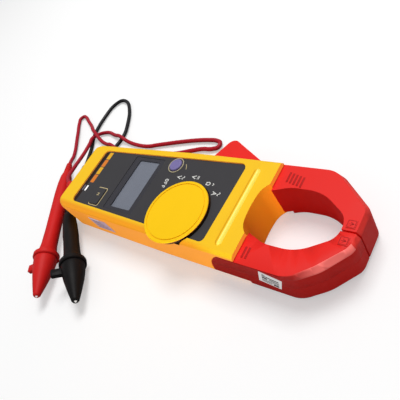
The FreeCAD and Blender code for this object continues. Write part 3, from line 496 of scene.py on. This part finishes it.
# strokes of each sign on a 1 x 1 box
GLYPHS = {
    "O": [[(0.5 + 0.42 * math.cos(i * math.pi / 8), 0.5 + 0.5 * math.sin(i * math.pi / 8))
           for i in range(17)]],
    "F": [[(0.1, 0), (0.1, 1), (0.85, 1)], [(0.1, 0.52), (0.7, 0.52)]],
    "V": [[(0, 1), (0.5, 0), (1, 1)]],
    "A": [[(0, 0), (0.5, 1), (1, 0)], [(0.2, 0.35), (0.8, 0.35)]],
    "H": [[(0.1, 0), (0.1, 1)], [(0.9, 0), (0.9, 1)], [(0.1, 0.5), (0.9, 0.5)]],
    "~": [[(i / 12.0, 0.5 + 0.32 * math.sin(i / 12.0 * 2 * math.pi)) for i in range(13)]],
    "=": [[(0, 0.66), (1, 0.66)], [(0, 0.30), (0.27, 0.30)], [(0.37, 0.30), (0.63, 0.30)],
          [(0.73, 0.30), (1, 0.30)]],
    "ohm": [[(0.0, 0.02), (0.34, 0.02)]
            + ellipse_points(range(245, -66, -18), 0.5, 0.56, 0.46, 0.44)
            + [(0.66, 0.02), (1.0, 0.02)]],
}


def sign(name, glyphs, x, row, size, width=0.5, look="print_white", z=PRINT_Z,
         aspect=0.78, body="meter"):
    """Glyphs in a line along +X, centred on (x, row); aspect is their width over height."""
    gap = 0.28              # between glyphs, as a share of their height
    glyph_width = size * aspect
    total = len(glyphs) * glyph_width + (len(glyphs) - 1) * size * gap
    lines = []
    for i, glyph in enumerate(glyphs):
        start = -total / 2 + i * (glyph_width + size * gap)
        for line in GLYPHS[glyph]:
            lines.append([(x + (start + px * glyph_width), row + (py - 0.5) * size)
                          for px, py in line])
    ribbon(name, lines, width, look, z=z, body=body)


# round the dial: name, letter, mark on its jaw side, x, row between the two
DIAL_SIGNS = (
    ("ac_volts", "V", "~", -10.2, 97.7),
    ("dc_volts", "V", "=", -11.9, 108.5),
    ("ac_amperes", "A", "~", -3.7, 128.3),
)
sign("sign_off", "OFF", x=-4.3, row=88.1, size=2.3)
for name, letter, mark, x, row in DIAL_SIGNS:
    sign("sign_" + name, letter, x, row - 1.5, size=2.7)
    sign("mark_" + name, mark, x, row + 1.7, size=2.3, width=0.42, aspect=1.0)
sign("sign_ohms", ["ohm"], x=-9.1, row=119.3, size=2.7)
ribbon("mark_ohms", [[(-9.9, 122.6), (-9.1, 123.4), (-8.3, 122.6)]], 0.4, "print_white")

# ------------------------------------------------------------------ bars near the handle end
BAR_Z = 24.18           # underside of the printed bars
plate("bar_dark", rounded(-20.9, 20.9, 16.1, 19.2, 0.8), BAR_Z, 24.22, "print_brown")
for i, (x0, x1) in enumerate(((-20.9, -14.9), (-14.4, -8.4), (-7.9, -1.9), (-1.4, 5.2))):
    plate("bar_yellow_%d" % i, rounded(x0, x1, 20.2, 24.0, 0.5), BAR_Z, 24.24,
          "print_orange" if i % 2 else "print_yellow")
for i, (row, look) in enumerate(((17.4, "print_grey"), (20.4, "label_white"))):
    plate("bar_pale_%d" % i, rounded(8.0, 12.4, row, row + 1.5, 0.5), BAR_Z, 24.25, look)

# ------------------------------------------------------------------ keys and display
KEY_X, KEY_ROW = 14.25, 38.25                   # centre of the rectangular key
KEY_HALF_WIDTH, KEY_HALF_LENGTH = 6.25, 4.25
key_outline = rounded(KEY_X - KEY_HALF_WIDTH - 0.55, KEY_X + KEY_HALF_WIDTH + 0.45,
                      KEY_ROW - KEY_HALF_LENGTH - 0.6, KEY_ROW + KEY_HALF_LENGTH + 0.6, 1.4)
ribbon("hold_outline", [close(key_outline)], 0.55, "print_cream")
sign("hold_sign", "H", x=13.0, row=38.4, size=2.2, look="print_cream", z=25.22,
     body="hold_key")
# bent stroke beside the round key
ribbon("select_sign", [[(-19.8, 95.2), (-18.2, 96.5), (-16.2, 97.4)]], 0.35, "print_cream")

# dark frame under the lens, open over the display
plate("display_mask", rounded(-20.79, 20.79, 49.31, 76.69, 0.9), 23.2, 23.93,
      "display_mask", hole=rounded(-18.4, 18.4, 54.6, 73.0, 0.8))

# ------------------------------------------------------------------ print on the side labels
# The jaw label is a skewed rectangle on the +X side; blocks are placed on it in mm
# along (towards the jaw) and down from its corner. Vectors are (row, z).
LABEL_X = 29.49
LABEL_CORNER = (170.9, 20.4)
LABEL_ALONG = (10.8 / 11.52, -4.0 / 11.52)
LABEL_DOWN = (-4.25 / 11.8, -11.0 / 11.8)
# start and end along, start and end down
LABEL_BLOCKS = (
    (1.6, 3.2, 1.4, 2.1), (1.6, 10.0, 2.9, 3.9), (1.6, 4.4, 4.7, 6.3),
    (5.0, 10.2, 4.7, 5.3), (5.0, 10.2, 5.8, 6.4), (1.6, 10.2, 7.2, 7.8),
    (1.6, 6.8, 8.5, 9.1), (7.4, 10.2, 8.5, 10.2), (1.6, 6.8, 9.8, 10.3),
)


def label_block(name, along0, along1, down0, down1, steps=6):
    verts = []
    for i in range(steps + 1):
        along = along0 + (along1 - along0) * i / steps
        for down in (down0, down1):
            row, z = (LABEL_CORNER[k] + along * LABEL_ALONG[k] + down * LABEL_DOWN[k]
                      for k in range(2))
            verts.append(point(LABEL_X, row, z))
    faces = [(2 * i, 2 * i + 1, 2 * i + 3, 2 * i + 2) for i in range(steps)]
    attach(name, new_mesh(name, verts, faces), "print_black")


def wall_x(row):
    """The case's +X wall, which leans outwards towards the jaw, plus a small clearance."""
    return 28.0 + (row - 8.0) * 1.3 / 92.0 + 0.20


def case_block(name, row0, row1, z0, z1, look):
    """Upright rectangle on the +X wall of the case."""
    corners = ((row0, z0), (row1, z0), (row1, z1), (row0, z1))
    verts = [point(wall_x(row), row, z) for row, z in corners]
    attach(name, new_mesh(name, verts, [(0, 1, 2, 3)]), look)


for i, block in enumerate(LABEL_BLOCKS):
    label_block("label_block_%d" % i, *block)
case_block("case_label_edge", 36.2, 47.5, 19.2, 20.1, "label_white")
for i in range(4):
    low = 10.0 + 2.2 * i
    case_block("case_label_line_%d" % i, 38.0, 52.0 - 1.5 * i, low, low + 0.6, "print_grey")

# ------------------------------------------------------------------ marks at the jaw tips
TIP_SIZE = 4.2          # side of the square plate at each tip
TIP_INSET = 0.35        # from the plate's edge to the outline
# the tip outlines are drawn in the painted shade of the raised marks
tip_stroke = dict(width=0.35, look="jaw_mark", z=22.3, slot="jaw_red")
for name, body, x0, row0 in (("moving", "moving_jaw", -4.6, 201.2), ("fixed", "meter", 4.0, 200.9)):
    square = rounded(x0 + TIP_INSET, x0 + TIP_SIZE - TIP_INSET,
                     row0 + TIP_INSET, row0 + TIP_SIZE - TIP_INSET, 0.3, steps=2)
    ribbon(name + "_tip_square", [close(square)], body=body, **tip_stroke)
    x, row = x0 + TIP_SIZE / 2, row0 + TIP_SIZE / 2
    head = [(x - 0.9, row - 0.5), (x, row + 0.9), (x + 0.9, row - 0.5)]
    shaft = [(x, row - 1.1), (x, row + 0.9)]
    ribbon(name + "_tip_arrow", [head, shaft], body=body, **tip_stroke)


# ------------------------------------------------------------------ flexible cable tails
CABLE_RADIUS = 1.5


def smooth_line(path, steps=10):
    """Hermite curve through a path; its first and last points only set the end directions."""
    pts = [point(*place) for place in path]
    spans = [math.sqrt((b - a).length) for a, b in zip(pts, pts[1:])]
    tangents = {}
    for i in range(1, len(pts) - 1):
        a, b, c = pts[i - 1:i + 2]
        tangents[i] = ((b - a) / spans[i - 1] - (c - a) / (spans[i - 1] + spans[i])
                       + (c - b) / spans[i]).normalized()
    line = []
    for i in range(1, len(pts) - 2):
        a, b = pts[i], pts[i + 1]
        reach = (b - a).length
        for k in range(steps):
            t = k / steps
            line.append(a * (2 * t ** 3 - 3 * t * t + 1)
                        + tangents[i] * (reach * (t ** 3 - 2 * t * t + t))
                        + b * (-2 * t ** 3 + 3 * t * t)
                        + tangents[i + 1] * (reach * (t ** 3 - t * t)))
    line.append(pts[-2])
    return line


def tube(name, path, radius, look, sides=16):
    """Round cable along a smooth path, capped at both ends."""
    line = smooth_line(path)
    verts, faces = [], []
    for i, centre in enumerate(line):
        ahead = (line[min(i + 1, len(line) - 1)] - line[max(i - 1, 0)]).normalized()
        side = ahead.cross(Vector((0, 0, 1))).normalized()
        top = side.cross(ahead).normalized()
        for k in range(sides):
            angle = 2 * math.pi * k / sides
            verts.append(centre + (side * math.cos(angle) + top * math.sin(angle)) * radius * MM)
    for i in range(len(line) - 1):
        for k in range(sides):
            a, b = i * sides + k, i * sides + (k + 1) % sides
            faces.append((a, b, b + sides, a + sides))
    faces.append(tuple(reversed(range(sides))))
    faces.append(tuple(range(len(verts) - sides, len(verts))))
    mesh = new_mesh(name, verts, faces)
    bm = bmesh.new()
    bm.from_mesh(mesh)
    bmesh.ops.recalc_face_normals(bm, faces=bm.faces)
    bm.to_mesh(mesh)
    bm.free()
    for poly in mesh.polygons:
        poly.use_smooth = len(poly.vertices) == 4
    return link_object(name, mesh, look)


def advance(start, direction, distance):
    length = math.sqrt(sum(c * c for c in direction))
    return tuple(start[i] + direction[i] / length * distance for i in range(3))


# colour, plug's start and direction, distances of the cable's straight points from the
# start, distance where the bending begins, and the (x, row, z) points that follow
LEADS = (
    ("red", (9.5, -6.6, 12.6), (-0.35, -0.94, 0.0), (7.0, 9.0, 14.5), 13.0,
     [(1.6, -27.0, 11.4), (-3.6, -33.6, 9.6), (-14.0, -37.6, 8.0), (-27.0, -40.4, 6.8),
      (-40.0, -45.5, 5.2), (-46.0, -48.2, 4.7)]),
    ("black", (-9.5, -6.6, 12.6), (-1.0, -0.45, 0.0), (12.0, 13.0, 16.0, 19.0), 18.5,
     [(-31.6, -15.9, 10.4), (-35.6, -16.1, 5.7), (-39.0, -15.5, 2.7), (-45.0, -14.6, 1.85)]),
)
for colour, start, direction, straight, bend_start, free in LEADS:
    path = [advance(start, direction, distance) for distance in straight] + free
    ob = tube(colour + "_tail_tube", path, CABLE_RADIUS, "wire_" + colour)
    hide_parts(colour + "_cable_tail")
    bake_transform(ob)


# ------------------------------------------------------------------ floor, light, camera
def make_floor():
    """White floor, pale to the camera but a quieter reflector, so walls stay dark."""
    bpy.ops.mesh.primitive_plane_add(size=8.0, location=(0, 0, -0.0003))
    floor = bpy.context.active_object
    floor.name = "floor"
    look = bpy.data.materials.new("floor_white")
    look.use_nodes = True
    tree = look.node_tree
    shader = tree.nodes["Principled BSDF"]
    shader.inputs["Roughness"].default_value = 0.8
    shader.inputs["Specular IOR Level"].default_value = 0.05
    shader.inputs["Emission Color"].default_value = (1.0, 1.0, 1.0, 1.0)
    camera_ray = add_node(tree, "LightPath").outputs["Is Camera Ray"]
    tone = add_map_range(tree, 0.0, 1.0, low=0.34, high=0.62)
    tree.links.new(camera_ray, tone.inputs["Value"])
    grey = add_node(tree, "CombineColor")
    for channel in ("Red", "Green", "Blue"):
        tree.links.new(tone.outputs["Result"], grey.inputs[channel])
    tree.links.new(grey.outputs["Color"], shader.inputs["Base Color"])
    glow = add_node(tree, "Math", {1: 0.415}, operation="MULTIPLY")
    tree.links.new(camera_ray, glow.inputs[0])
    tree.links.new(glow.outputs["Value"], shader.inputs["Emission Strength"])
    floor.data.materials.append(look)


def make_world():
    world = bpy.data.worlds.new("studio")
    bpy.context.scene.world = world
    world.use_nodes = True
    background = world.node_tree.nodes["Background"]
    background.inputs["Color"].default_value = (1.0, 1.0, 1.0, 1.0)
    background.inputs["Strength"].default_value = 0.38


def area(name, place, target, size, power):
    """Square area light aimed at a target; metres and watts."""
    light = bpy.data.lights.new(name, "AREA")
    light.shape = "SQUARE"
    light.size = size
    light.energy = power
    ob = bpy.data.objects.new(name, light)
    bpy.context.scene.collection.objects.link(ob)
    ob.location = place
    ob.rotation_euler = (Vector(target) - Vector(place)).to_track_quat("-Z", "Y").to_euler()
    return ob


def make_lights():
    area("key_top", place=(-0.50, 0.0, 1.15), target=(0, 0.0, 0), size=0.6, power=10.6)
    # soft fill that reaches only the case, its label and the dial
    fill = area("fill_side", place=(1.08, 0.52, 0.06), target=(0, 0.02, 0.012), size=0.4,
                power=9.5)
    lit = bpy.data.collections.new("fill_side_case")
    for name in ("front_case", "rear_case", "side_label", "dial_knob"):
        lit.objects.link(nodes[name])
    fill.light_linking.receiver_collection = lit
    fill.light_linking.blocker_collection = lit


def make_camera():
    """Camera beyond the jaw, on the +X side, looking down towards the handle end."""
    right = Vector((-0.47844477, 0.73829906, -0.47539993))
    up = Vector((-0.80438393, -0.15133459, 0.57451226))
    forward = Vector((-0.35221741, -0.65727645, -0.66628114))
    place = Vector((86.386, 278.038 - ORIGIN_ROW, 184.161)) * MM
    data = bpy.data.cameras.new("camera")
    camera = bpy.data.objects.new("camera", data)
    bpy.context.scene.collection.objects.link(camera)
    turn = Matrix((right, up, -forward)).transposed().to_4x4()
    camera.matrix_world = Matrix.Translation(place) @ turn
    data.sensor_width = 36.0
    data.lens = 39.9744
    data.clip_start = 0.01
    data.clip_end = 20.0
    bpy.context.scene.camera = camera


make_floor()
make_world()
make_lights()
make_camera()

view = bpy.context.scene.view_settings
view.view_transform = "Standard"
view.look = "None"
view.exposure = 0.0
view.gamma = 1.0

bpy.context.view_layer.update()
